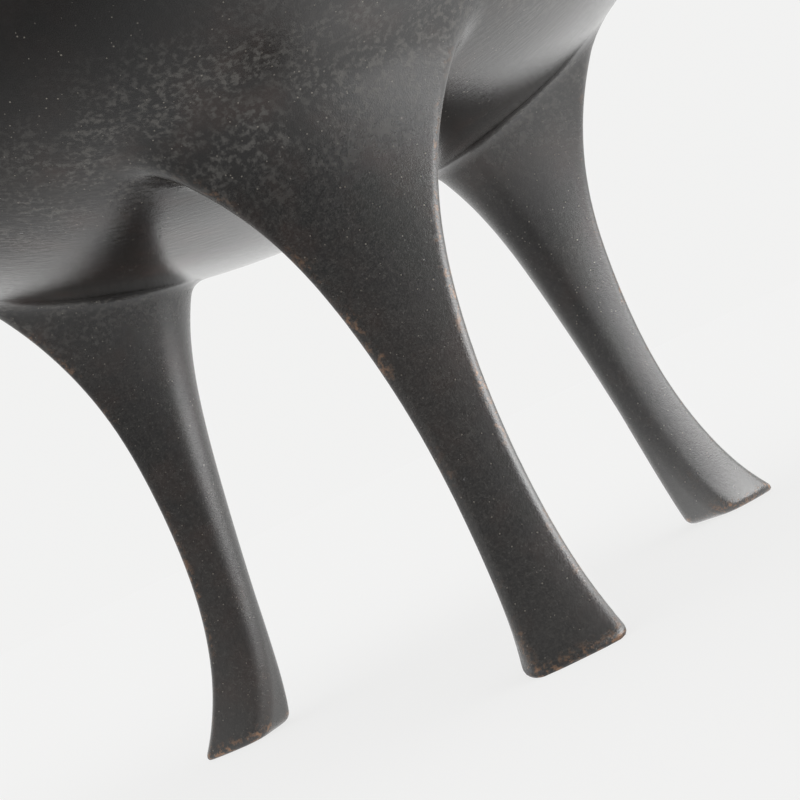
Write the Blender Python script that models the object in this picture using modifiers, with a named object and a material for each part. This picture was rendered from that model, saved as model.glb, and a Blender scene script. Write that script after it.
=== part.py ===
"""Bronze tripod censer: a round hollow bowl and three splayed legs, cast as one piece.

The vessel stands on its three flat foot undersides, at z = 0. Its turning axis is Z, and
the front leg points to -Y. Lengths are in metres.
"""
import math

import bmesh
import bpy
from mathutils import Matrix

# Bowl, a turned shape
BOWL_CLEARANCE = 0.060      # floor to the lowest point of the bowl's underside
BELLY_RADIUS = 0.0647       # widest radius of the bowl
BELLY_RISE = 0.0329         # lowest point of the bowl to its widest line
SHOULDER_RISE = 0.0200      # widest line to the height where the shoulder would close flat
SHOULDER_RADIUS = 0.0400    # radius about which the shoulder bends in
SHOULDER_SWEEP = 62.0       # degrees of that bend before the neck starts
NECK_RISE = 0.0100          # shoulder's end to the edge of the lip
NECK_PINCH = 0.0060         # how far the neck's curve is drawn inwards
LIP_RADIUS = 0.0490         # outer radius of the flared lip
LIP_SLOPE = 35.0            # degrees from upright at which the lip flares
WALL = 0.0030               # thickness of the cast wall

# Leg's straight shank, each size at the floor and what it gains up to the bowl's lowest point
LEG_COUNT = 3
LEG_INSET = 0.0239          # bowl's widest line in to the outer face's middle
LEG_INSET_GAIN = 0.0032
LEG_DEPTH = 0.0036          # outer face to inner face
LEG_DEPTH_GAIN = 0.0051
FACE_HALF = 0.0023          # half the width of the outer face
FACE_HALF_GAIN = 0.0002
BACK_HALF = 0.0029          # half the width of the inner face
BACK_HALF_GAIN = 0.0008
FACE_BULGE = 0.0200         # radius of the outer face's gentle bulge
FACE_BULGE_GAIN = 0.0250
FACE_EDGE = 0.0013          # rounding of the outer face's two edges
BACK_EDGE = 0.0028          # rounding of the inner face's two edges
FOOT_RIM = 0.0012           # rounding round the underside of a foot

# Leg's flares: (height over which one dies away, growth at the floor)
FOOT_REACH_FLARE = (0.0116, 0.0106)
FOOT_BACK_FLARE = (0.0049, 0.0026)
FOOT_FACE_FLARE = (0.0160, 0.0034)
FOOT_BACK_HALF_FLARE = (0.0064, 0.0028)
FOOT_EDGE_FLARE = (0.0040, 0.0008)

# The same at the root, with the growth at the height where the outer face meets the bowl
ROOT_REACH_FLARE = (0.0120, 0.0101)
ROOT_BACK_FLARE = (0.0094, -0.0134)
ROOT_FACE_FLARE = (0.0168, 0.0192)
ROOT_BACK_HALF_FLARE = (0.0070, 0.0072)
EDGE_FADE = (0.0030, 0.25)  # here the growth is a share of the face's half width

# How finely the curves are divided
TURN_STEPS = 60
OUTER_STEPS = (15, 6, 5)    # underside, shoulder and neck, on the outer side
INNER_STEPS = (11, 5, 5)    # the same stretches on the inner side
LIP_STEPS = 5
LEG_ROWS = 15
LEG_ROW_EASE = 0.09         # how much closer the rows lie at the leg's ends
RIM_ROWS = 3
FACE_STEPS = 3
EDGE_STEPS = 3
MEETING_STEP = 0.0005       # step of the search for the height where leg meets bowl


def bowl_outline(steps):
    """Outer side of the bowl as (radius, height) points, from its lowest point to the lip."""
    low_steps, shoulder_steps, neck_steps = steps
    points = []
    for i in range(low_steps + 1):
        turn = math.pi / 2 * i / low_steps
        points.append((BELLY_RADIUS * math.sin(turn),
                       BOWL_CLEARANCE + BELLY_RISE * (1 - math.cos(turn))))
    belly_height = BOWL_CLEARANCE + BELLY_RISE
    span = BELLY_RADIUS - SHOULDER_RADIUS
    sweep = math.radians(SHOULDER_SWEEP)
    for i in range(1, shoulder_steps + 1):
        turn = sweep * i / shoulder_steps
        points.append((SHOULDER_RADIUS + span * math.cos(turn),
                       belly_height + SHOULDER_RISE * math.sin(turn)))
    return points + neck_curve(points[-1], sweep, span, neck_steps)


def neck_curve(start, sweep, span, steps):
    """Points of the neck, a cubic curve from the shoulder's end to the edge of the lip."""
    run, rise = -span * math.sin(sweep), SHOULDER_RISE * math.cos(sweep)
    pull = NECK_PINCH / math.hypot(run, rise)
    slope = math.radians(LIP_SLOPE)
    end = (LIP_RADIUS, start[1] + NECK_RISE)
    leave = (start[0] + run * pull, start[1] + rise * pull)
    arrive = (end[0] - NECK_PINCH * math.sin(slope), end[1] - NECK_PINCH * math.cos(slope))
    points = []
    for i in range(1, steps + 1):
        t = i / steps
        shares = ((1 - t) ** 3, 3 * t * (1 - t) ** 2, 3 * t * t * (1 - t), t ** 3)
        points.append(tuple(sum(share * handle[k] for share, handle in
                                zip(shares, (start, leave, arrive, end))) for k in (0, 1)))
    return points


def inset_outline(points, depth):
    """The outline moved inwards by depth, square to its own direction."""
    last = len(points) - 1
    moved = [(0.0, points[0][1] + depth)]
    for i in range(1, last + 1):
        before, after = points[i - 1], points[min(i + 1, last)]
        run, rise = after[0] - before[0], after[1] - before[1]
        length = math.hypot(run, rise)
        moved.append((points[i][0] - depth * rise / length, points[i][1] + depth * run / length))
    return moved


def lip_arc(inner_end, outer_end):
    """Half circle over the lip, from the inner wall to the outer one, its ends left out."""
    centre = ((outer_end[0] + inner_end[0]) / 2, (outer_end[1] + inner_end[1]) / 2)
    out, up = inner_end[0] - centre[0], inner_end[1] - centre[1]
    arc = []
    for i in range(1, LIP_STEPS):
        turn = -math.pi * i / LIP_STEPS
        arc.append((centre[0] + out * math.cos(turn) - up * math.sin(turn),
                    centre[1] + out * math.sin(turn) + up * math.cos(turn)))
    return arc


def bowl_height(radius):
    """Height of the bowl's underside at a radius up to its belly."""
    share = min(radius / BELLY_RADIUS, 1.0)
    return BOWL_CLEARANCE + BELLY_RISE * (1 - math.sqrt(1 - share * share))


def turned(name, profile, collection):
    """Object turned about Z from a profile that runs down its outer side."""
    mesh = bpy.data.meshes.new(name)
    edges = [(i, i + 1) for i in range(len(profile) - 1)]
    mesh.from_pydata([(radius, 0.0, height) for radius, height in profile], edges, [])
    shape = bpy.data.objects.new(name, mesh)
    collection.objects.link(shape)
    screw = shape.modifiers.new("turn", "SCREW")
    screw.axis = "Z"
    screw.angle = 2 * math.pi
    screw.steps = TURN_STEPS
    screw.render_steps = TURN_STEPS
    screw.use_merge_vertices = True
    screw.merge_threshold = 0.00002
    screw.use_smooth_shade = True
    return shape


def flared(height, top, size, gain, foot, root):
    """A size of the leg at a height: a straight taper, with a flare at the foot and root."""
    at_foot = foot[1] * math.exp(-height / foot[0])
    at_root = root[1] * math.exp((height - top) / root[0])
    return size + gain * height / BOWL_CLEARANCE + at_foot + at_root


def leg_reach(height, top):
    """Distance from the axis to the middle of a leg's outer face, which meets the bowl at top."""
    return flared(height, top, BELLY_RADIUS - LEG_INSET, -LEG_INSET_GAIN, FOOT_REACH_FLARE,
                  ROOT_REACH_FLARE)


def leg_back(height, top):
    """Distance from the axis to a leg's inner face."""
    return flared(height, top, BELLY_RADIUS - LEG_INSET - LEG_DEPTH,
                  -LEG_INSET_GAIN - LEG_DEPTH_GAIN, FOOT_BACK_FLARE, ROOT_BACK_FLARE)


def leg_section(height, top, inset):
    """Points (outwards, sideways) round a leg at a height, moved inwards by inset."""
    face_half = flared(height, top, FACE_HALF, FACE_HALF_GAIN, FOOT_FACE_FLARE, ROOT_FACE_FLARE)
    back_half = flared(height, top, BACK_HALF, BACK_HALF_GAIN, FOOT_BACK_HALF_FLARE,
                       ROOT_BACK_HALF_FLARE)
    edge = FACE_EDGE + FOOT_EDGE_FLARE[1] * math.exp(-height / FOOT_EDGE_FLARE[0])
    edge += (face_half - edge) * EDGE_FADE[1] * math.exp((height - top) / EDGE_FADE[0])
    bulge = FACE_BULGE + FACE_BULGE_GAIN * height / BOWL_CLEARANCE

    # The outer face's arc turns by face_turn before the rounding of its edge takes over
    face_turn = math.asin(min((face_half - edge) / (bulge - edge), 1.0))
    face_centre = (leg_reach(height, top) - bulge, 0.0)
    edge_centre = (face_centre[0] + (bulge - edge) * math.cos(face_turn), face_half - edge)
    back_centre = (leg_back(height, top) + BACK_EDGE, max(back_half - BACK_EDGE, 0.0))
    out_step = edge_centre[0] - back_centre[0]
    side_step = edge_centre[1] - back_centre[1]
    side_turn = math.atan2(side_step, out_step) + math.acos(
        (BACK_EDGE - edge) / math.hypot(out_step, side_step))

    arcs = ((face_centre, bulge, 0.0, face_turn, FACE_STEPS, 0),
            (edge_centre, edge, face_turn, side_turn, EDGE_STEPS, 1),
            (back_centre, BACK_EDGE, side_turn, math.pi, EDGE_STEPS, 1))
    half = []
    for centre, radius, start, stop, steps, ends in arcs:
        for i in range(steps + ends):
            turn = start + (stop - start) * i / steps
            half.append((centre[0] + (radius - inset) * math.cos(turn),
                         centre[1] + (radius - inset) * math.sin(turn)))
    return half + [(out, -side) for out, side in reversed(half[1:])]


def meeting_height():
    """Height at which the middle of a leg's outer face runs into the bowl."""
    height = BOWL_CLEARANCE
    while bowl_height(leg_reach(height, height)) > height:
        height += MEETING_STEP
    return height


def leg_rows(top):
    """Height and inset of each section of a leg, from the floor to inside the bowl's wall."""
    rows = []
    for i in range(RIM_ROWS):
        turn = math.pi / 2 * i / RIM_ROWS
        rows.append((FOOT_RIM * (1 - math.cos(turn)), FOOT_RIM * (1 - math.sin(turn))))
    rise = top + WALL - FOOT_RIM
    for i in range(LEG_ROWS + 1):
        share = i / LEG_ROWS
        eased = share - LEG_ROW_EASE * math.sin(2 * math.pi * share)
        rows.append((FOOT_RIM + rise * eased, 0.0))
    return rows


def make_leg(name, index, collection):
    """One leg, lofted through its sections and turned to its place round the axis."""
    loft = bmesh.new()
    top = meeting_height()
    rings = []
    for height, inset in leg_rows(top):
        rings.append([loft.verts.new((side, -out, height))
                      for out, side in leg_section(height, top, inset)])
    count = len(rings[0])
    for lower, upper in zip(rings, rings[1:]):
        for i in range(count):
            j = (i + 1) % count
            loft.faces.new((lower[i], lower[j], upper[j], upper[i]))
    loft.faces.new(list(reversed(rings[0])))
    loft.faces.new(rings[-1])
    turn = Matrix.Rotation(2 * math.pi * index / LEG_COUNT, 4, "Z")
    bmesh.ops.transform(loft, matrix=turn, verts=loft.verts)
    bmesh.ops.recalc_face_normals(loft, faces=loft.faces)
    mesh = bpy.data.meshes.new(name)
    loft.to_mesh(mesh)
    loft.free()
    mesh.shade_smooth()
    leg = bpy.data.objects.new(name, mesh)
    collection.objects.link(leg)
    return leg


def hide_as_cutter(shape):
    """Mark an object as a guide that isn't part of the censer."""
    shape.hide_render = True
    shape.display_type = "WIRE"


def combine(target, tool, operation):
    """Join a tool to the target, or cut it from it, with the exact solver."""
    step = target.modifiers.new(tool.name, "BOOLEAN")
    step.operation = operation
    step.solver = "EXACT"
    step.object = tool


def bronze():
    """Dark brown-black patinated bronze."""
    material = bpy.data.materials.new("patinated_bronze")
    material.use_nodes = True
    shader = material.node_tree.nodes["Principled BSDF"]
    shader.inputs["Base Color"].default_value = (0.035, 0.030, 0.028, 1.0)
    shader.inputs["Roughness"].default_value = 0.38
    shader.inputs["Metallic"].default_value = 0.35
    return material


def make_censer(collection, cutters):
    """The whole casting: the turned bowl, joined with its legs."""
    outer = bowl_outline(OUTER_STEPS)
    inner = inset_outline(bowl_outline(INNER_STEPS), WALL)
    profile = inner + lip_arc(inner[-1], outer[-1]) + list(reversed(outer))
    censer = turned("censer", profile, collection)
    censer.data.materials.append(bronze())

    # The legs end half way through the bowl's wall, so that none of them shows inside
    middle = inset_outline(outer, WALL / 2)
    core_top = (0.0, middle[-1][1])
    core = turned("wall_core", [core_top] + list(reversed(middle)), cutters)
    hide_as_cutter(core)
    for index in range(LEG_COUNT):
        leg = make_leg("leg_%d" % (index + 1), index, cutters)
        combine(leg, core, "DIFFERENCE")
        hide_as_cutter(leg)
        combine(censer, leg, "UNION")


def main():
    """Clear the scene and model the censer in its own collection."""
    for leftover in list(bpy.data.objects):
        bpy.data.objects.remove(leftover, do_unlink=True)
    parts = bpy.data.collections.new("tripod_censer")
    cutters = bpy.data.collections.new("cutters")
    bpy.context.scene.collection.children.link(parts)
    bpy.context.scene.collection.children.link(cutters)
    make_censer(parts, cutters)


main()
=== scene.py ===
"""Looks of the bronze tripod censer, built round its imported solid.

The solid's facets are replaced by one smooth casting: a turned bowl that runs into three
legs over small fillets, with hand-finished surfaces and a dark patina worn at the edges.
Lengths are in metres, the floor is z = 0, and the front leg points to -Y.
"""

import logging
import math
from dataclasses import dataclass, field
from enum import Enum

import bmesh
import bpy
import numpy as np
from mathutils import Matrix, Vector


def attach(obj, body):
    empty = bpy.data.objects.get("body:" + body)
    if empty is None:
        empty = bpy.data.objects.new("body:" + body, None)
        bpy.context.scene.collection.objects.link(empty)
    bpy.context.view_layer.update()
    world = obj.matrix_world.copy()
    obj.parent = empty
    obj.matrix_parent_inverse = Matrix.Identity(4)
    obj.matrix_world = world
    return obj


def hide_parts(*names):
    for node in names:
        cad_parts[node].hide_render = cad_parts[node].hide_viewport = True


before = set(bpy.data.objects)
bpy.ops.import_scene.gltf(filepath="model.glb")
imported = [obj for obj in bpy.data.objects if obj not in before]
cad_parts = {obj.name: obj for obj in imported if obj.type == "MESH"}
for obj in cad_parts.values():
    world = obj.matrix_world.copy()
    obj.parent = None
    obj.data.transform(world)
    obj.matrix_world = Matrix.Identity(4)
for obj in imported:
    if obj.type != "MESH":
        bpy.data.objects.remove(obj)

log = logging.getLogger("censer")


# Shapes

@dataclass(frozen=True)
class Flare:
    """Growth of a size towards one end of a leg."""

    length: float
    growth: float

    def at(self, distance: np.ndarray) -> np.ndarray:
        """Growth left at a distance from the flared end."""
        return self.growth * np.exp(-distance / self.length)


@dataclass
class BowlShape:
    """The turned bowl, with the sizes of its solid."""

    clearance: float = 0.060
    belly_radius: float = 0.0647
    belly_rise: float = 0.0329
    shoulder_rise: float = 0.0200
    shoulder_radius: float = 0.0400
    shoulder_sweep: float = 62.0
    neck_rise: float = 0.0100
    neck_pinch: float = 0.0060
    lip_radius: float = 0.0490
    lip_slope: float = 35.0
    wall: float = 0.0030
    steps: tuple[int, int, int] = (700, 250, 160)
    batch: int = 20000
    middle: np.ndarray = field(init=False)
    outward: np.ndarray = field(init=False)
    along: np.ndarray = field(init=False)

    def __post_init__(self) -> None:
        """Work out the middle line of the wall and its directions."""
        outer = self.outer_line()
        self.along = self.directions(outer)
        self.outward = np.stack([self.along[:, 1], -self.along[:, 0]], axis=1)
        self.middle = outer - self.outward * self.wall / 2

    def outer_line(self) -> np.ndarray:
        """Outer side of the bowl from its lowest point to the lip.

        Returns:
            An array of (radius, height) points.
        """
        low, shoulder, neck = self.steps
        belly_height = self.clearance + self.belly_rise
        turn = np.linspace(0, math.pi / 2, low + 1)
        under = np.stack([self.belly_radius * np.sin(turn),
                          self.clearance + self.belly_rise * (1 - np.cos(turn))], axis=1)
        span = self.belly_radius - self.shoulder_radius
        sweep = math.radians(self.shoulder_sweep)
        turn = np.linspace(0, sweep, shoulder + 1)[1:]
        upper = np.stack([self.shoulder_radius + span * np.cos(turn),
                          belly_height + self.shoulder_rise * np.sin(turn)], axis=1)
        run = Vector((-span * math.sin(sweep), self.shoulder_rise * math.cos(sweep)))
        slope = math.radians(self.lip_slope)
        start = Vector(upper[-1])
        end = Vector((self.lip_radius, start.y + self.neck_rise))
        leave = start + run.normalized() * self.neck_pinch
        arrive = end - Vector((math.sin(slope), math.cos(slope))) * self.neck_pinch
        t = np.linspace(0, 1, neck + 1)[1:, None]
        curve = ((1 - t) ** 3 * np.array(start) + 3 * t * (1 - t) ** 2 * np.array(leave)
                 + 3 * t * t * (1 - t) * np.array(arrive) + t ** 3 * np.array(end))
        return np.concatenate([under, upper, curve])

    @staticmethod
    def directions(line: np.ndarray) -> np.ndarray:
        """Unit direction of a line of points at each of them.

        Args:
            line: Points of shape (n, 2).

        Returns:
            An array of the same shape.
        """
        step = np.gradient(line, axis=0)
        step[0] = (1.0, 0.0)
        return step / np.linalg.norm(step, axis=1)[:, None]

    def measure(self, radius: np.ndarray, height: np.ndarray
                ) -> tuple[np.ndarray, np.ndarray, np.ndarray]:
        """Where points lie beside the middle line of the wall.

        Args:
            radius: Distances of the points from the bowl's axis.
            height: Heights of the points.

        Returns:
            The distance from the line (outside is positive), how far a point lies past
            the lip's end of the line, and the line's outward direction there.
        """
        place = np.stack([radius, height], axis=1)
        nearest = np.empty(len(place), dtype=int)
        square = (self.middle ** 2).sum(1)
        for i in range(0, len(place), self.batch):
            part = place[i:i + self.batch]
            reach = square - 2 * part @ self.middle.T
            nearest[i:i + self.batch] = np.argmin(reach, axis=1)
        offset = place - self.middle[nearest]
        along = (offset * self.along[nearest]).sum(1)
        last = len(self.middle) - 1
        other = np.clip(nearest + np.where(along > 0, 1, -1), 0, last)
        gap = np.linalg.norm(self.middle[other] - self.middle[nearest], axis=1) + 1e-9
        share = np.clip(np.abs(along) / gap, 0, 1)[:, None]
        outward = self.outward[nearest] * (1 - share) + self.outward[other] * share
        outward /= np.linalg.norm(outward, axis=1)[:, None]
        past = np.where(nearest == last, np.maximum(along, 0), 0)
        return (offset * outward).sum(1), past, outward


@dataclass
class LegShape:
    """One leg's cross-sections, with the sizes of its solid."""

    bowl: BowlShape
    inset: float = 0.0239
    inset_gain: float = 0.0032
    depth: float = 0.0036
    depth_gain: float = 0.0051
    face_half: float = 0.0023
    face_half_gain: float = 0.0002
    back_half: float = 0.0030
    back_half_gain: float = 0.0008
    face_bulge: float = 0.0200
    face_bulge_gain: float = 0.0250
    face_edge: float = 0.0013
    back_edge: float = 0.0029
    side_bend: float = 24.0
    foot_rim: float = 0.0012
    foot_reach: Flare = Flare(0.0116, 0.0102)
    foot_back: Flare = Flare(0.0049, 0.0026)
    foot_face: Flare = Flare(0.0160, 0.0034)
    foot_back_half: Flare = Flare(0.0064, 0.0028)
    foot_edge: Flare = Flare(0.0040, 0.0008)
    root_reach: Flare = Flare(0.0120, 0.0101)
    root_back: Flare = Flare(0.0094, -0.0134)
    root_face: Flare = Flare(0.0168, 0.0192)
    root_back_half: Flare = Flare(0.0070, 0.0072)
    root_back_edge: Flare = Flare(0.0200, 0.0065)
    edge_fade: Flare = Flare(0.0030, 0.25)
    meeting: float = 0.0705
    hold: float = 0.0030

    def distance(self, out: np.ndarray, side: np.ndarray, height: np.ndarray) -> np.ndarray:
        """Level distance of points from the leg's surface, negative inside it.

        Args:
            out: How far out from the bowl's axis the points lie, along the leg.
            side: How far to its side they lie.
            height: Their heights.

        Returns:
            One distance a point.
        """
        z = np.minimum(height, self.meeting + self.hold)
        share = z / self.bowl.clearance
        above = self.meeting - z
        reach = (self.bowl.belly_radius - self.inset - self.inset_gain * share
                 + self.foot_reach.at(z) + self.root_reach.at(above))
        back = (self.bowl.belly_radius - self.inset - self.depth
                - (self.inset_gain + self.depth_gain) * share
                + self.foot_back.at(z) + self.root_back.at(above))
        face_half = (self.face_half + self.face_half_gain * share
                     + self.foot_face.at(z) + self.root_face.at(above))
        back_half = (self.back_half + self.back_half_gain * share
                     + self.foot_back_half.at(z) + self.root_back_half.at(above))
        edge = self.face_edge + self.foot_edge.at(z)
        edge = edge + (face_half - edge) * self.edge_fade.at(above)
        back_edge = self.back_edge + self.root_back_edge.at(above)
        bulge = self.face_bulge + self.face_bulge_gain * share

        beside = np.abs(side)
        face_sin = np.clip((face_half - edge) / (bulge - edge), 0, 1)
        face_x = reach - bulge
        edge_x = face_x + (bulge - edge) * np.sqrt(1 - face_sin ** 2)
        edge_y = face_half - edge
        back_x = back + back_edge
        back_y = np.maximum(back_half - back_edge, 0)
        run, rise = edge_x - back_x, edge_y - back_y
        chord = np.hypot(run, rise)
        swell = (chord / (2 * math.sin(math.radians(self.side_bend) / 2))
                 + (edge + back_edge) / 2)
        to_back = swell - back_edge
        along = (chord ** 2 + to_back ** 2 - (swell - edge) ** 2) / (2 * chord)
        aside = np.sqrt(np.maximum(to_back ** 2 - along ** 2, 0))
        side_x = back_x + (run * along + rise * aside) / chord
        side_y = back_y + (rise * along - run * aside) / chord
        edge_turn = np.arctan2(edge_y - side_y, edge_x - side_x)
        back_turn = np.arctan2(back_y - side_y, back_x - side_x)

        flat = np.maximum(np.hypot(out - face_x, beside) - bulge,
                          np.hypot(out - side_x, beside - side_y) - swell)
        flat = np.maximum(flat, back - out)
        turn = np.arctan2(beside - edge_y, out - edge_x)
        on_edge = (turn >= np.arcsin(face_sin)) & (turn <= edge_turn)
        flat = np.where(on_edge, np.hypot(out - edge_x, beside - edge_y) - edge, flat)
        turn = np.arctan2(beside - back_y, out - back_x)
        on_back = (turn >= back_turn) & (beside >= back_y)
        flat = np.where(on_back, np.hypot(out - back_x, beside - back_y) - back_edge, flat)

        rim = self.foot_rim
        near = np.minimum(np.maximum(flat, -height), -rim)
        return near + np.hypot(np.maximum(flat + rim, 0), np.maximum(rim - height, 0))


@dataclass
class CastingShape:
    """Bowl and legs as one surface, with fillets and the unevenness of handwork."""

    bowl: BowlShape
    leg: LegShape
    leg_count: int = 3
    fillet: float = 0.0019
    legs_end: float = 0.095
    wobble: float = 0.00005
    wobble_waves: int = 14
    wobble_lengths: tuple[float, float] = (0.013, 0.034)
    wobble_overlap: int = 4
    wobble_starts: float = 0.002
    wobble_rise: float = 0.004
    seed: int = 7
    slope_step: float = 2e-6
    least_steepness: float = 0.2

    def evaluate(self, points: np.ndarray) -> tuple[np.ndarray, np.ndarray]:
        """Distance from the casting's surface, negative inside, and its slope.

        Args:
            points: Places of shape (n, 3).

        Returns:
            The distances, and the slopes of shape (n, 3).
        """
        radius = np.hypot(points[:, 0], points[:, 1]) + 1e-9
        beside, past, outward = self.bowl.measure(radius, points[:, 2])
        bowl_slope = np.stack([outward[:, 0] * points[:, 0] / radius,
                               outward[:, 0] * points[:, 1] / radius, outward[:, 1]], axis=1)
        half_wall = self.bowl.wall / 2
        leg, leg_slope = self.leg_at(points)
        body = beside - half_wall
        overlap = np.maximum(self.fillet - np.abs(body - leg), 0) / self.fillet
        value = np.minimum(body, leg) - overlap ** 2 * self.fillet / 4
        leg_share = np.where(leg < body, 1 - overlap / 2, overlap / 2)[:, None]
        slope = bowl_slope * (1 - leg_share) + leg_slope * leg_share

        hollow = -(beside + half_wall)
        inside = hollow > value
        value = np.where(inside, hollow, value)
        slope = np.where(inside[:, None], -bowl_slope, slope)

        upper = points[:, 2] > self.legs_end
        span = np.hypot(beside, past)
        lip_slope = (bowl_slope * beside[:, None]
                     + self.lip_direction(points, radius) * past[:, None])
        value = np.where(upper, span - half_wall, value)
        slope = np.where(upper[:, None], lip_slope / np.maximum(span, 1e-9)[:, None], slope)

        extra, extra_slope = self.unevenness(points)
        return value + extra, slope + extra_slope

    def lip_direction(self, points: np.ndarray, radius: np.ndarray) -> np.ndarray:
        """Direction in which the wall's middle line leaves the lip, at each point."""
        out, up = self.bowl.along[-1]
        return np.stack([out * points[:, 0] / radius, out * points[:, 1] / radius,
                         np.full(len(points), up)], axis=1)

    def leg_at(self, points: np.ndarray) -> tuple[np.ndarray, np.ndarray]:
        """Distance from the nearest leg, and its slope, scaled to true distances.

        Args:
            points: Places of shape (n, 3).

        Returns:
            The distances, and the unit slopes of shape (n, 3).
        """
        spread = 2 * math.pi / self.leg_count
        angle = np.arctan2(points[:, 0], -points[:, 1])
        turn = np.round(angle / spread) * spread
        sin, cos = np.sin(turn), np.cos(turn)

        def local(place: np.ndarray) -> np.ndarray:
            """Distance of places from the leg that each point is nearest to."""
            out = place[:, 0] * sin - place[:, 1] * cos
            side = place[:, 0] * cos + place[:, 1] * sin
            return self.leg.distance(out, side, place[:, 2])

        step = self.slope_step
        slope = np.empty_like(points)
        for axis in range(3):
            shift = np.zeros(3)
            shift[axis] = step
            slope[:, axis] = (local(points + shift) - local(points - shift)) / (2 * step)
        steepness = np.maximum(np.linalg.norm(slope, axis=1), self.least_steepness)
        return local(points) / steepness, slope / steepness[:, None]

    def unevenness(self, points: np.ndarray) -> tuple[np.ndarray, np.ndarray]:
        """Slow swells of a hand-finished surface, which fade out at the floor.

        Args:
            points: Places of shape (n, 3).

        Returns:
            The height of the swell at each point, and its slope.
        """
        chance = np.random.default_rng(self.seed)
        direction = chance.normal(size=(self.wobble_waves, 3))
        direction /= np.linalg.norm(direction, axis=1)[:, None]
        length = chance.uniform(*self.wobble_lengths, self.wobble_waves)
        waves = direction * (2 * math.pi / length)[:, None]
        phase = points @ waves.T + chance.uniform(0, 2 * math.pi, self.wobble_waves)
        crowd = math.sqrt(self.wobble_waves / self.wobble_overlap)
        size = self.wobble * length / self.wobble_lengths[1] / crowd
        fade = np.clip((points[:, 2] - self.wobble_starts) / self.wobble_rise, 0, 1)
        return (np.sin(phase) @ size) * fade, (np.cos(phase) * size) @ waves * fade[:, None]


# Meshes

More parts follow.
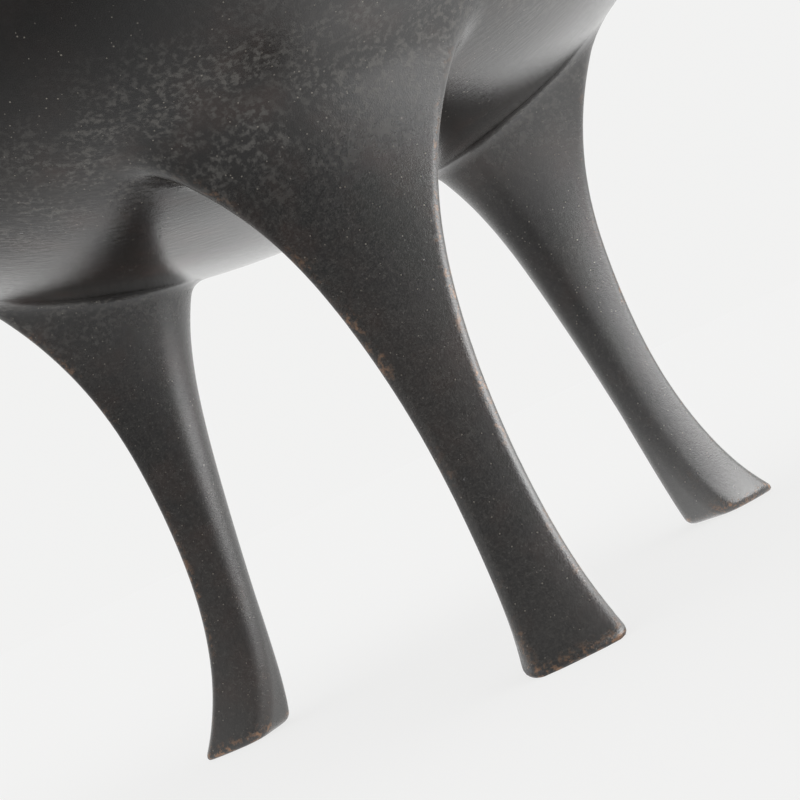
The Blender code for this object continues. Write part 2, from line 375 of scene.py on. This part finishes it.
@dataclass
class Casting:
    """The whole censer as one dense smooth mesh."""

    shape: CastingShape
    voxel: float = 0.0014
    rounds: int = 2
    split_angle: float = 9.0
    first_settle: tuple[int, float] = (4, 0.5)
    later_settle: tuple[int, float] = (3, 0.25)
    longest_step: float = 0.001
    least_steep: float = 0.05
    wear_bend: tuple[float, float] = (120.0, 420.0)
    piece_name: str = "censer_casting"

    def build(self, solid: bpy.types.Object) -> bpy.types.Object:
        """Make the casting over its faceted solid.

        Args:
            solid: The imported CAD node, which is only read.

        Returns:
            The new object, with smooth normals and an edge wear attribute.
        """
        mesh = self.even_mesh(solid)
        normals = self.settle(mesh, *self.first_settle)
        for _ in range(self.rounds):
            self.split_curved(mesh, normals)
            normals = self.settle(mesh, *self.later_settle)
        self.mark_curvature(mesh, normals)
        mesh.shade_smooth()
        mesh.normals_split_custom_set_from_vertices(normals)
        piece = bpy.data.objects.new(self.piece_name, mesh)
        bpy.context.scene.collection.objects.link(piece)
        return piece

    def even_mesh(self, solid: bpy.types.Object) -> bpy.types.Mesh:
        """Copy of the solid's skin with faces of one even size.

        Args:
            solid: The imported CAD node.

        Returns:
            A new mesh.
        """
        source = bpy.data.objects.new("skin", solid.data.copy())
        bpy.context.scene.collection.objects.link(source)
        source.data.materials.clear()
        even = source.modifiers.new("even", "REMESH")
        even.mode = "VOXEL"
        even.voxel_size = self.voxel
        bpy.context.view_layer.update()
        evaluated = source.evaluated_get(bpy.context.evaluated_depsgraph_get())
        mesh = bpy.data.meshes.new_from_object(evaluated)
        mesh.name = self.piece_name
        bpy.data.objects.remove(source, do_unlink=True)
        return mesh

    def settle(self, mesh: bpy.types.Mesh, passes: int, relax: float) -> np.ndarray:
        """Even out the vertices and move them onto the casting's true surface.

        Args:
            mesh: The mesh to change.
            passes: How many times both are done.
            relax: How far a vertex moves towards the middle of its neighbours.

        Returns:
            The surface's unit normal at each vertex.
        """
        points = self.places(mesh)
        edges = np.empty(len(mesh.edges) * 2, dtype=np.int32)
        mesh.edges.foreach_get("vertices", edges)
        ends = edges.reshape(-1, 2)
        count = np.bincount(edges, minlength=len(points))[:, None]
        for turn in range(passes + 2):
            if 0 < turn <= passes:
                middle = np.zeros_like(points)
                np.add.at(middle, ends[:, 0], points[ends[:, 1]])
                np.add.at(middle, ends[:, 1], points[ends[:, 0]])
                points += (middle / count - points) * relax
            value, slope = self.shape.evaluate(points)
            steep = (slope ** 2).sum(1)[:, None]
            step = value[:, None] * slope / np.maximum(steep, self.least_steep)
            length = np.linalg.norm(step, axis=1)[:, None]
            points -= step * np.minimum(1, self.longest_step / np.maximum(length, 1e-9))
        _, slope = self.shape.evaluate(points)
        points[:, 2] = np.maximum(points[:, 2], 0)
        mesh.vertices.foreach_set("co", points.astype(np.float32).ravel())
        mesh.update()
        return slope / np.linalg.norm(slope, axis=1)[:, None]

    def split_curved(self, mesh: bpy.types.Mesh, normals: np.ndarray) -> None:
        """Divide the edges along which the surface turns by more than the split angle.

        Args:
            mesh: The mesh to change.
            normals: Its surface normals, one a vertex.
        """
        work = bmesh.new()
        work.from_mesh(mesh)
        work.edges.ensure_lookup_table()
        ends = np.array([(e.verts[0].index, e.verts[1].index) for e in work.edges])
        cosine = (normals[ends[:, 0]] * normals[ends[:, 1]]).sum(1)
        limit = math.cos(math.radians(self.split_angle))
        chosen = [work.edges[i] for i in np.nonzero(cosine < limit)[0]]
        bmesh.ops.subdivide_edges(work, edges=chosen, cuts=1, use_grid_fill=True)
        bmesh.ops.triangulate(work, faces=[f for f in work.faces if len(f.verts) > 4])
        work.to_mesh(mesh)
        work.free()

    def mark_curvature(self, mesh: bpy.types.Mesh, normals: np.ndarray) -> None:
        """Store how strongly the surface bends out, which is where patina wears off.

        Args:
            mesh: The mesh to mark.
            normals: Its surface normals, one a vertex.
        """
        points = self.places(mesh)
        edges = np.empty(len(mesh.edges) * 2, dtype=np.int32)
        mesh.edges.foreach_get("vertices", edges)
        ends = edges.reshape(-1, 2)
        step = points[ends[:, 1]] - points[ends[:, 0]]
        bend = ((normals[ends[:, 1]] - normals[ends[:, 0]]) * step).sum(1)
        bend /= np.maximum((step ** 2).sum(1), 1e-10)
        total = np.zeros(len(points))
        np.add.at(total, ends[:, 0], bend)
        np.add.at(total, ends[:, 1], bend)
        total /= np.maximum(np.bincount(edges, minlength=len(points)), 1)
        low, high = self.wear_bend
        share = np.clip((total - low) / (high - low), 0, 1)
        marked = mesh.attributes.new("edge", "FLOAT", "POINT")
        marked.data.foreach_set("value", share.astype(np.float32))

    @staticmethod
    def places(mesh: bpy.types.Mesh) -> np.ndarray:
        """Vertex places of a mesh, of shape (n, 3)."""
        flat = np.empty(len(mesh.vertices) * 3, dtype=np.float32)
        mesh.vertices.foreach_get("co", flat)
        return flat.reshape(-1, 3).astype(float)


# Shader groups and finishes

Socket = bpy.types.NodeSocket
Colour = tuple[float, float, float]


@dataclass
class Sheet:
    """A node tree being filled, with short ways to add and join its nodes."""

    tree: bpy.types.NodeTree

    def add(self, kind: str, **settings: object) -> bpy.types.Node:
        """Add a node.

        Args:
            kind: Its type name.
            settings: Attributes to set on it.

        Returns:
            The new node.
        """
        node = self.tree.nodes.new(kind)
        for name, value in settings.items():
            setattr(node, name, value)
        return node

    def feed(self, socket: Socket, value: object) -> None:
        """Join a socket to another one, or set its plain value."""
        if isinstance(value, bpy.types.NodeSocket):
            self.tree.links.new(value, socket)
        elif isinstance(value, tuple) and len(value) == 3 and socket.type == "RGBA":
            socket.default_value = (*value, 1.0)
        else:
            socket.default_value = value

    def math(self, operation: str, first: object, second: object) -> Socket:
        """Result of a Math node on two values."""
        node = self.add("ShaderNodeMath", operation=operation)
        self.feed(node.inputs[0], first)
        self.feed(node.inputs[1], second)
        return node.outputs[0]

    def span(self, value: Socket, low: object, high: object, to_low: object = 0.0,
             to_high: object = 1.0, smooth: bool = True) -> Socket:
        """Value carried from one range to another, held at its ends."""
        node = self.add("ShaderNodeMapRange", clamp=True,
                        interpolation_type="SMOOTHSTEP" if smooth else "LINEAR")
        for socket, given in zip(node.inputs[:5], (value, low, high, to_low, to_high)):
            self.feed(socket, given)
        return node.outputs[0]

    def mix(self, share: object, first: object, second: object) -> Socket:
        """Colour between two colours."""
        node = self.add("ShaderNodeMix", data_type="RGBA")
        self.feed(node.inputs[0], share)
        self.feed(node.inputs[6], first)
        self.feed(node.inputs[7], second)
        return node.outputs[2]

    def noise(self, place: Socket, scale: object, detail: float,
              roughness: float) -> Socket:
        """Value of a Noise Texture node."""
        node = self.add("ShaderNodeTexNoise")
        self.feed(node.inputs["Vector"], place)
        self.feed(node.inputs["Scale"], scale)
        node.inputs["Detail"].default_value = detail
        node.inputs["Roughness"].default_value = roughness
        return node.outputs["Fac"]

    def attribute(self, name: str) -> Socket:
        """Value of a float attribute of the mesh."""
        return self.add("ShaderNodeAttribute", attribute_name=name).outputs["Fac"]


class Groups:
    """Shader node groups, each built once and placed wherever it is used."""

    @staticmethod
    def start(name: str, inputs: dict[str, tuple[str, float]], output: str
              ) -> tuple[Sheet, bpy.types.Node, bpy.types.Node]:
        """Begin a group with its sockets.

        Args:
            name: Name of the group.
            inputs: Socket type and default value of each input, by name.
            output: Name of the one value that it puts out.

        Returns:
            The group's sheet, its input node and its output node.
        """
        tree = bpy.data.node_groups.new(name, "ShaderNodeTree")
        for label, (kind, value) in inputs.items():
            socket = tree.interface.new_socket(label, in_out="INPUT", socket_type=kind)
            if kind == "NodeSocketFloat":
                socket.default_value = value
        tree.interface.new_socket(output, in_out="OUTPUT", socket_type="NodeSocketFloat")
        sheet = Sheet(tree)
        return sheet, sheet.add("NodeGroupInput"), sheet.add("NodeGroupOutput")

    @classmethod
    def blotches(cls) -> bpy.types.NodeTree:
        """Soft-edged patches of any size: the share of patch at a place."""
        sheet, given, out = cls.start("blotches", {
            "Place": ("NodeSocketVector", 0.0), "Scale": ("NodeSocketFloat", 100.0),
            "Cover": ("NodeSocketFloat", 0.5), "Softness": ("NodeSocketFloat", 0.1)}, "Mask")
        value = sheet.noise(given.outputs["Place"], given.outputs["Scale"],
                            detail=5.0, roughness=0.6)
        middle = sheet.math("SUBTRACT", 1.0, given.outputs["Cover"])
        low = sheet.math("SUBTRACT", middle, given.outputs["Softness"])
        high = sheet.math("ADD", middle, given.outputs["Softness"])
        sheet.feed(out.inputs["Mask"], sheet.span(value, low, high))
        return sheet.tree

    @classmethod
    def specks(cls) -> bpy.types.NodeTree:
        """Small scattered dots of uneven size: the share of dot at a place."""
        sheet, given, out = cls.start("specks", {
            "Place": ("NodeSocketVector", 0.0), "Scale": ("NodeSocketFloat", 500.0),
            "Size": ("NodeSocketFloat", 0.2), "Chance": ("NodeSocketFloat", 0.2)}, "Mask")
        cells = sheet.add("ShaderNodeTexVoronoi", feature="F1")
        sheet.feed(cells.inputs["Vector"], given.outputs["Place"])
        sheet.feed(cells.inputs["Scale"], given.outputs["Scale"])
        parts = sheet.add("ShaderNodeSeparateColor")
        sheet.feed(parts.inputs[0], cells.outputs["Color"])
        there = sheet.math("LESS_THAN", parts.outputs[0], given.outputs["Chance"])
        smallest, core = 0.45, 0.6
        size = sheet.math("MULTIPLY", given.outputs["Size"],
                          sheet.span(parts.outputs[1], 0.0, 1.0, smallest, 1.0, False))
        inner = sheet.math("MULTIPLY", size, core)
        dot = sheet.span(cells.outputs["Distance"], inner, size, 1.0, 0.0)
        sheet.feed(out.inputs["Mask"], sheet.math("MULTIPLY", dot, there))
        return sheet.tree

    @classmethod
    def polish_strokes(cls) -> bpy.types.NodeTree:
        """Short fine strokes of hand polishing from side to side: their height at a place."""
        sheet, given, out = cls.start("polish_strokes", {
            "Place": ("NodeSocketVector", 0.0), "Scale": ("NodeSocketFloat", 2000.0),
            "Stretch": ("NodeSocketFloat", 0.2)}, "Height")
        parts = sheet.add("ShaderNodeSeparateXYZ")
        sheet.feed(parts.inputs[0], given.outputs["Place"])
        lined = sheet.add("ShaderNodeCombineXYZ")
        along = sheet.math("MULTIPLY", parts.outputs[0], given.outputs["Stretch"])
        sheet.feed(lined.inputs[0], along)
        sheet.feed(lined.inputs[1], parts.outputs[1])
        value = sheet.noise(lined.outputs[0], given.outputs["Scale"],
                            detail=4.0, roughness=0.7)
        sheet.feed(out.inputs["Height"], value)
        return sheet.tree


def place_group(sheet: Sheet, tree: bpy.types.NodeTree, **values: object) -> Socket:
    """Place a group in a material.

    Args:
        sheet: The material's sheet.
        tree: The group.
        values: Its inputs, by name.

    Returns:
        The group's one output.
    """
    node = sheet.add("ShaderNodeGroup", node_tree=tree)
    for name, value in values.items():
        sheet.feed(node.inputs[name], value)
    return node.outputs[0]


@dataclass(frozen=True)
class Patches:
    """Size, cover and softness of a layer of patches."""

    scale: float
    cover: float
    softness: float

    def share(self, sheet: Sheet, tree: bpy.types.NodeTree, place: Socket) -> Socket:
        """Share of patch at a place, from the group for soft patches."""
        return place_group(sheet, tree, Place=place, Scale=self.scale, Cover=self.cover,
                           Softness=self.softness)


@dataclass(frozen=True)
class Dots:
    """Spacing, size and number of a layer of small dots."""

    scale: float
    size: float
    chance: float

    def share(self, sheet: Sheet, tree: bpy.types.NodeTree, place: Socket) -> Socket:
        """Share of dot at a place, from the group for small dots."""
        return place_group(sheet, tree, Place=place, Scale=self.scale, Size=self.size,
                           Chance=self.chance)


@dataclass(frozen=True)
class Zones:
    """Place, height and masks of the bronze's zones, as sockets of its material."""

    place: Socket
    height: Socket
    smooth: Socket
    clean: Socket
    upper: Socket
    on_bowl: Socket


@dataclass(frozen=True)
class BronzePatina:
    """Dark brown-black patina on cast bronze, flecked on the wall and rubbed at its edges.

    The bowl's underside is the smoothest part. The wall over it is covered with dull flecks
    up to the height above which the upper wall is plain and painted darker, as painted shade.
    Values in threes are for the legs, the wall and the underside.
    """

    name: str = "dark_bronze_patina"
    dark: Colour = (0.0068, 0.0062, 0.0062)
    brown: Colour = (0.0125, 0.0082, 0.0064)
    red: Colour = (0.029, 0.0130, 0.0088)
    fleck: Colour = (0.076, 0.0705, 0.063)
    copper: Colour = (0.38, 0.215, 0.125)
    dust: Colour = (0.34, 0.31, 0.26)
    black: Colour = (0.0, 0.0, 0.0)

    flecked_from: tuple[float, float] = (0.0540, 0.0680)
    flecked_to: tuple[float, float] = (0.0720, 0.0810)
    rim: tuple[float, float] = (0.0010, 0.0035)
    dull_to: tuple[float, float] = (0.885, 0.95)
    smooth_from: tuple[float, float] = (0.78, 0.86)
    on_legs: float = 0.20

    tones: Patches = Patches(45.0, 0.50, 0.18)
    rust: Patches = Patches(90.0, 0.40, 0.12)
    rust_share: float = 0.7
    fine: Patches = Patches(1350.0, 0.45, 0.10)
    broad: Patches = Patches(170.0, 0.56, 0.16)
    flecks_above: float = 0.12
    flecks_below: float = 0.06
    grit: Patches = Patches(3600.0, 0.44, 0.10)
    grit_on_legs: float = 0.40
    grit_on_wall: float = 0.05
    grit_below: float = 0.1
    upper_painted_shade: float = 0.7
    rubbed: Patches = Patches(1300.0, 0.44, 0.10)
    often: Patches = Patches(130.0, 0.46, 0.14)
    rim_wear: float = 0.8
    metal_share: float = 0.5
    dust_dots: Dots = Dots(1900.0, 0.24, 0.20)
    dust_crowd: Patches = Patches(70.0, 0.60, 0.20)
    dust_share: float = 0.60

    ior: float = 1.9
    roughness: tuple[float, float, float] = (0.21, 0.31, 0.10)
    fleck_roughness: float = 0.16
    grain: tuple[float, float, float] = (1.9, 0.9, 0.40)
    grain_scale: float = 5000.0
    grain_detail: float = 3.0
    grain_sharpness: float = 0.7
    stroke_scale: float = 1700.0
    stroke_stretch: float = 0.22
    stroke_height: tuple[float, float] = (0.2, 1.5)
    pits: Dots = Dots(420.0, 0.13, 0.10)
    pit_depth: float = 2.0
    fleck_height: float = 0.25
    bump_strength: float = 0.5
    bump_distance: float = 0.00006

    def build(self, blotches: bpy.types.NodeTree, specks: bpy.types.NodeTree,
              polish_strokes: bpy.types.NodeTree) -> bpy.types.Material:
        """Make the material.

        Args:
            blotches: The group for soft patches.
            specks: The group for small dots.
            polish_strokes: The group for fine strokes of polishing.

        Returns:
            The material.
        """
        material = bpy.data.materials.new(self.name)
        material.use_nodes = True
        sheet = Sheet(material.node_tree)
        shader = material.node_tree.nodes["Principled BSDF"]
        zones = self.zones(sheet)
        flecks = self.flecks(sheet, zones, blotches)
        worn = self.worn(sheet, zones, blotches)

        colour = self.patina(sheet, zones, flecks, blotches)
        colour = sheet.mix(worn, colour, self.copper)
        dust = self.dust_dots.share(sheet, specks, zones.place)
        crowd = self.dust_crowd.share(sheet, blotches, zones.place)
        dust = sheet.math("MULTIPLY", sheet.math("MULTIPLY", dust, crowd), self.dust_share)
        sheet.feed(shader.inputs["Base Color"], sheet.mix(dust, colour, self.dust))

        rough = self.by_zone(sheet, zones, self.roughness)
        dull = sheet.math("MULTIPLY", flecks, self.fleck_roughness)
        sheet.feed(shader.inputs["Roughness"], sheet.math("ADD", rough, dull))
        sheet.feed(shader.inputs["Metallic"], sheet.math("MULTIPLY", worn, self.metal_share))
        shader.inputs["IOR"].default_value = self.ior

        bump = sheet.add("ShaderNodeBump")
        bump.inputs["Strength"].default_value = self.bump_strength
        bump.inputs["Distance"].default_value = self.bump_distance
        relief = self.relief(sheet, zones, flecks, specks, polish_strokes)
        sheet.feed(bump.inputs["Height"], relief)
        sheet.feed(shader.inputs["Normal"], bump.outputs[0])
        return material

    def zones(self, sheet: Sheet) -> Zones:
        """Masks of the underside, the upper wall and the bowl, from place and slope."""
        where = sheet.add("ShaderNodeTexCoord")
        facing = sheet.add("ShaderNodeSeparateXYZ")
        sheet.feed(facing.inputs[0], where.outputs["Normal"])
        down = sheet.math("MULTIPLY", facing.outputs[2], -1.0)
        parts = sheet.add("ShaderNodeSeparateXYZ")
        sheet.feed(parts.inputs[0], where.outputs["Object"])
        height = parts.outputs[2]
        return Zones(place=where.outputs["Object"], height=height,
                     smooth=sheet.span(down, *self.smooth_from),
                     clean=sheet.span(down, *self.dull_to),
                     upper=sheet.span(height, *self.flecked_to),
                     on_bowl=sheet.span(height, *self.flecked_from, self.on_legs, 1.0))

    def by_zone(self, sheet: Sheet, zones: Zones, values: tuple[float, float, float]
                ) -> Socket:
        """Value that changes between the legs, the wall and the underside.

        Args:
            sheet: The material's sheet.
            zones: Its masks.
            values: The value on the legs, on the wall and on the underside.

        Returns:
            The value.
        """
        legs, wall, below = values
        value = sheet.span(zones.on_bowl, self.on_legs, 1.0, legs, wall, False)
        return sheet.span(zones.smooth, 0.0, 1.0, value, below, False)

    def flecks(self, sheet: Sheet, zones: Zones, blotches: bpy.types.NodeTree) -> Socket:
        """Share of dull fleck: fine flecks in broad clouds, mostly on the wall.

        Args:
            sheet: The material's sheet.
            zones: Its masks.
            blotches: The group for soft patches.

        Returns:
            The share.
        """
        above = sheet.span(zones.upper, 0.0, 1.0, 1.0, self.flecks_above, False)
        below = sheet.span(zones.clean, 0.0, 1.0, 1.0, self.flecks_below, False)
        spread = sheet.math("MULTIPLY", sheet.math("MULTIPLY", above, below), zones.on_bowl)
        fine = self.fine.share(sheet, blotches, zones.place)
        broad = self.broad.share(sheet, blotches, zones.place)
        return sheet.math("MULTIPLY", sheet.math("MULTIPLY", fine, broad), spread)

    def patina(self, sheet: Sheet, zones: Zones, flecks: Socket,
               blotches: bpy.types.NodeTree) -> Socket:
        """Colour of the unworn patina, with painted shade that darkens the upper wall.

        Args:
            sheet: The material's sheet.
            zones: Its masks.
            flecks: Share of dull fleck.
            blotches: The group for soft patches.

        Returns:
            The colour.
        """
        colour = sheet.mix(self.tones.share(sheet, blotches, zones.place), self.dark,
                           self.brown)
        rust = self.rust.share(sheet, blotches, zones.place)
        colour = sheet.mix(sheet.math("MULTIPLY", rust, self.rust_share), colour, self.red)
        colour = sheet.mix(flecks, colour, self.fleck)

        grit = self.grit.share(sheet, blotches, zones.place)
        spread = sheet.span(zones.on_bowl, self.on_legs, 1.0, self.grit_on_legs,
                            self.grit_on_wall, False)
        below = sheet.span(zones.smooth, 0.0, 1.0, 1.0, self.grit_below, False)
        grit = sheet.math("MULTIPLY", sheet.math("MULTIPLY", grit, spread), below)
        colour = sheet.mix(grit, colour, self.fleck)
        # painted shade: the upper wall is mixed towards black by its height
        return sheet.mix(sheet.math("MULTIPLY", zones.upper, self.upper_painted_shade), colour,
                         self.black)

    def worn(self, sheet: Sheet, zones: Zones, blotches: bpy.types.NodeTree) -> Socket:
        """Share of bare metal: in places along the edges, and round the feet.

        Args:
            sheet: The material's sheet.
            zones: Its masks.
            blotches: The group for soft patches.

        Returns:
            The share.
        """
        rubbed = self.rubbed.share(sheet, blotches, zones.place)
        often = self.often.share(sheet, blotches, zones.place)
        at_rim = sheet.span(zones.height, *self.rim, self.rim_wear, 0.0)
        often = sheet.math("MAXIMUM", often, at_rim)
        edge = sheet.attribute("edge")
        return sheet.math("MULTIPLY", sheet.math("MULTIPLY", edge, rubbed), often)

    def relief(self, sheet: Sheet, zones: Zones, flecks: Socket, specks: bpy.types.NodeTree,
               polish_strokes: bpy.types.NodeTree) -> Socket:
        """Height of the fine relief: grain, polish strokes, pits and flecks.

        Args:
            sheet: The material's sheet.
            zones: Its masks.
            flecks: Share of dull fleck.
            specks: The group for small dots.
            polish_strokes: The group for fine strokes of polishing.

        Returns:
            The height.
        """
        grain = sheet.noise(zones.place, self.grain_scale, self.grain_detail,
                            self.grain_sharpness)
        grain = sheet.math("MULTIPLY", grain, self.by_zone(sheet, zones, self.grain))
        pits = self.pits.share(sheet, specks, zones.place)
        height = sheet.math("SUBTRACT", grain, sheet.math("MULTIPLY", pits, self.pit_depth))
        lines = place_group(sheet, polish_strokes, Place=zones.place,
                            Scale=self.stroke_scale, Stretch=self.stroke_stretch)
        strength = sheet.span(zones.smooth, 0.0, 1.0, *self.stroke_height, False)
        height = sheet.math("ADD", height, sheet.math("MULTIPLY", lines, strength))
        return sheet.math("ADD", height, sheet.math("MULTIPLY", flecks, self.fleck_height))


class Layout(Enum):
    """How a shade lies on the floor."""

    ACROSS = "DOT_PRODUCT"
    ROUND = "DISTANCE"


@dataclass(frozen=True)
class FloorShade:
    """A painted soft change of light or shade in what the bronze mirrors of the floor.

    It is measured across a direction or round a place. The light is the first up to the
    nearer limit, and the last from the farther limit on.
    """

    layout: Layout
    other: tuple[float, float, float]
    limits: tuple[float, float]
    first: float
    last: float

    def share(self, sheet: Sheet, place: Socket) -> Socket:
        """Share of light at a place of the floor."""
        measure = sheet.add("ShaderNodeVectorMath", operation=self.layout.value)
        sheet.feed(measure.inputs[0], place)
        measure.inputs[1].default_value = self.other
        return sheet.span(measure.outputs["Value"], *self.limits, self.first, self.last)


@dataclass(frozen=True)
class PaleFloor:
    """Plain pale matt sheet under the censer, softly lit through from below.

    What the bronze mirrors of it is painted: painted shade towards the front left, as a
    photographer's dark flags would make it, painted shade close round the censer, and a
    painted pool of light before the right leg.
    """

    name: str = "pale_floor"
    colour: Colour = (0.20, 0.20, 0.199)
    glow: Colour = (0.758, 0.758, 0.754)
    black: Colour = (0.0, 0.0, 0.0)
    mirrored_gain: float = 1.42
    brightest: float = 3.1
    shades: tuple[FloorShade, ...] = (
        # painted shade towards the front left
        FloorShade(Layout.ACROSS, (-0.85, -0.53, 0.0), (-0.06, 0.11), 1.0, 0.22),
        # painted shade towards the front
        FloorShade(Layout.ACROSS, (0.0, -1.0, 0.0), (0.150, 0.210), 1.0, 0.42),
        # painted dark patch at the front left
        FloorShade(Layout.ROUND, (-0.120, -0.130, 0.0), (0.030, 0.090), 0.50, 1.0),
        # painted pool of light before the right leg
        FloorShade(Layout.ROUND, (0.067, -0.126, 0.0), (0.022, 0.046), 3.1, 1.0),
        # painted shade close round the censer
        FloorShade(Layout.ROUND, (-0.022, -0.050, 0.0), (0.012, 0.060), 0.62, 1.0))

    def build(self) -> bpy.types.Material:
        """Make the material."""
        material = bpy.data.materials.new(self.name)
        material.use_nodes = True
        sheet = Sheet(material.node_tree)
        shader = material.node_tree.nodes["Principled BSDF"]
        place = sheet.add("ShaderNodeTexCoord").outputs["Object"]
        # painted light and shade of the mirrored floor, multiplied together
        kept: object = 1.0 / self.brightest
        for shade in self.shades:
            kept = sheet.math("MULTIPLY", kept, shade.share(sheet, place))
        light = tuple(c * self.mirrored_gain * self.brightest for c in self.glow)
        painted_mirror_light = sheet.mix(kept, self.black, light)
        # glossy rays see only the painted light and shade; other rays see the even glow
        mirrored = sheet.add("ShaderNodeLightPath").outputs["Is Glossy Ray"]
        base = sheet.mix(mirrored, self.colour, self.black)
        sheet.feed(shader.inputs["Base Color"], base)
        sheet.feed(shader.inputs["Emission Color"], sheet.mix(mirrored, self.glow, painted_mirror_light))
        shader.inputs["Emission Strength"].default_value = 1.0
        shader.inputs["Roughness"].default_value = 1.0
        shader.inputs["Specular IOR Level"].default_value = 0.0
        return material


# Studio

@dataclass(frozen=True)
class LightPatch:
    """A round patch of the studio's wall that is lighter than the rest.

    It is at its full light up to the inner angle and gone at the outer one, in degrees.
    """

    toward: tuple[float, float, float]
    inner: float
    outer: float
    light: float


@dataclass
class Studio:
    """Floor, soft light and the camera at the photograph's angle."""

    floor_half: float = 6.0
    even_light: float = 0.66
    tent_light: float = 0.19
    light_tint: Colour = (1.0, 1.0, 0.99)
    backdrop: Colour = (0.885, 0.885, 0.880)
    patches: tuple[LightPatch, ...] = (
        LightPatch((-0.90, -0.45, 0.05), 20.0, 60.0, 0.37),
        LightPatch((0.85, -0.53, 0.00), 18.0, 48.0, 0.90),
        LightPatch((0.99, 0.10, 0.00), 20.0, 60.0, 0.70),
        LightPatch((0.20, 0.10, 1.00), 20.0, 62.0, 0.28),
        LightPatch((0.00, 1.00, 0.05), 30.0, 95.0, 0.80))
    side_ends: tuple[tuple[float, float], tuple[float, float]] = (
        (0.125, -0.135), (0.225, 0.020))
    side_height: float = 0.12
    side_light: float = 2.9
    camera_place: tuple[float, float, float] = (-0.02538, -0.23944, 0.02735)
    camera_view: tuple[float, float, float] = (0.1017, 0.9944, 0.0295)
    camera_roll: float = -25.18
    camera_lens: float = 81.0

    def floor(self, material: bpy.types.Material) -> bpy.types.Object:
        """Lay the floor at the feet's height."""
        mesh = bpy.data.meshes.new("floor")
        h = self.floor_half
        mesh.from_pydata([(-h, -h, 0), (h, -h, 0), (h, h, 0), (-h, h, 0)], [], [(0, 1, 2, 3)])
        mesh.materials.append(material)
        floor = bpy.data.objects.new("floor", mesh)
        bpy.context.scene.collection.objects.link(floor)
        return floor

    def world(self) -> None:
        """Wrap the scene in soft light, strong from the right and weak behind the camera."""
        world = bpy.data.worlds.new("studio")
        bpy.context.scene.world = world
        world.use_nodes = True
        sheet = Sheet(world.node_tree)
        direction = sheet.add("ShaderNodeTexCoord").outputs["Generated"]
        total: object = self.tent_light
        for patch in self.patches:
            toward = sheet.add("ShaderNodeVectorMath", operation="DOT_PRODUCT")
            sheet.feed(toward.inputs[0], direction)
            toward.inputs[1].default_value = Vector(patch.toward).normalized()
            part = sheet.span(toward.outputs["Value"], math.cos(math.radians(patch.outer)),
                              math.cos(math.radians(patch.inner)), 0.0, patch.light)
            total = sheet.math("ADD", total, part)
        path = sheet.add("ShaderNodeLightPath")
        glow = sheet.add("ShaderNodeCombineColor")
        for i, tint in enumerate(self.light_tint):
            sheet.feed(glow.inputs[i], sheet.math("MULTIPLY", total, tint))
        plain = (self.even_light,) * 3
        light = sheet.mix(path.outputs["Is Glossy Ray"], plain, glow.outputs[0])
        seen = sheet.mix(path.outputs["Is Camera Ray"], light, self.backdrop)
        sheet.feed(world.node_tree.nodes["Background"].inputs["Color"], seen)

    def side_panel(self) -> bpy.types.Object:
        """Stand a bright panel of light at the right, just outside the picture."""
        light = bpy.data.lights.new("side_panel", "AREA")
        near, far = (Vector((*end, self.side_height / 2)) for end in self.side_ends)
        light.shape = "RECTANGLE"
        light.size, light.size_y = (far - near).length, self.side_height
        light.energy = 4 * light.size * light.size_y * self.side_light
        panel = bpy.data.objects.new("side_panel", light)
        bpy.context.scene.collection.objects.link(panel)
        inward = (far - near).cross(Vector((0, 0, 1))) * -1
        panel.rotation_euler = inward.to_track_quat("-Z", "Y").to_euler()
        panel.location = (near + far) / 2
        panel.visible_camera = False
        panel.visible_diffuse = False
        return panel

    def camera(self) -> bpy.types.Object:
        """Set up the camera."""
        scene = bpy.context.scene
        lens = bpy.data.cameras.new("camera")
        lens.lens = self.camera_lens
        lens.sensor_width = 36.0
        lens.clip_start = 0.001
        camera = bpy.data.objects.new("camera", lens)
        scene.collection.objects.link(camera)
        view = Vector(self.camera_view).normalized()
        level = view.cross(Vector((0, 0, 1))).normalized()
        turn = Matrix.Rotation(math.radians(self.camera_roll), 3, -view)
        right = turn @ level
        up = right.cross(view)
        pose = Matrix((right, up, -view)).transposed().to_4x4()
        pose.translation = Vector(self.camera_place)
        camera.matrix_world = pose
        scene.camera = camera
        scene.view_settings.view_transform = "Standard"
        scene.view_settings.look = "None"
        return camera


def main() -> None:
    """Build the casting and the studio in order, and report each piece."""
    logging.basicConfig(level=logging.INFO, format="%(name)s: %(message)s")
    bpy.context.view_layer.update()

    bowl = BowlShape()
    casting = Casting(CastingShape(bowl, LegShape(bowl)))
    piece = casting.build(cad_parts["censer"])
    finish = BronzePatina().build(Groups.blotches(), Groups.specks(), Groups.polish_strokes())
    piece.data.materials.append(finish)
    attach(piece, "root")
    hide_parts("censer")
    triangles = sum(len(f.vertices) - 2 for f in piece.data.polygons)
    log.info("%s: %d triangles", piece.name, triangles)

    studio = Studio()
    studio.floor(PaleFloor().build())
    studio.world()
    studio.side_panel()
    studio.camera()
    log.info("studio: floor, light and camera")


if __name__ == "__main__":
    main()
